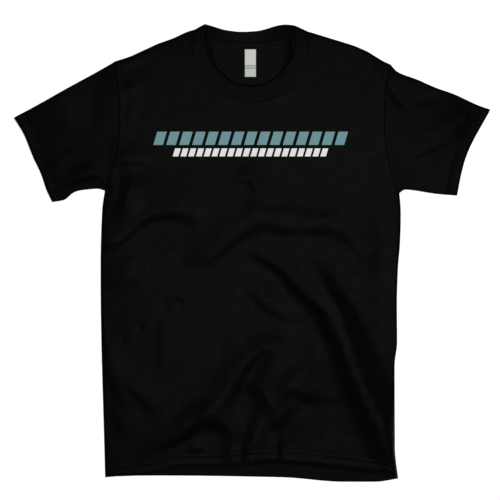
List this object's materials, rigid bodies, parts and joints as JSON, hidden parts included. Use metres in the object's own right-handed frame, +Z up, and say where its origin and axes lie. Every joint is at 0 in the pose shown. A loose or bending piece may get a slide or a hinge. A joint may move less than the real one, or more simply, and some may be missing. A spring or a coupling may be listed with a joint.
{
  "type": "short-sleeved t-shirt",
  "caption": "Crew-neck jersey t-shirt laid flat with its front up: slack body, short sleeves laid at a slant, ribbed collar, turned hems, and a label inside the back of the neck.",
  "frame": {"origin": "on the table under the shirt, midway across the chest and midway between the collar's top and the back hem", "axes": "+X across the chest to the viewer's right, +Y from the hem to the collar, +Z up from the table through the back and then the front"},
  "size_m": [0.7382, 0.704, 0.0206],
  "materials": {
    "black_jersey": "matt single-knit cotton",
    "black_rib": "matt rib-knit cotton",
    "woven_label": "smooth woven polyester"
  },
  "bodies": {
    "root": {"front_panel": "black_jersey", "back_panel": "black_jersey", "left_sleeve": "black_jersey", "right_sleeve": "black_jersey", "left_sleeve_hem": "black_jersey", "right_sleeve_hem": "black_jersey", "front_hem": "black_jersey", "back_hem": "black_jersey", "neck_rib": "black_rib", "neck_tape": "black_rib", "neck_label": "woven_label"}
  },
  "joints": []
}
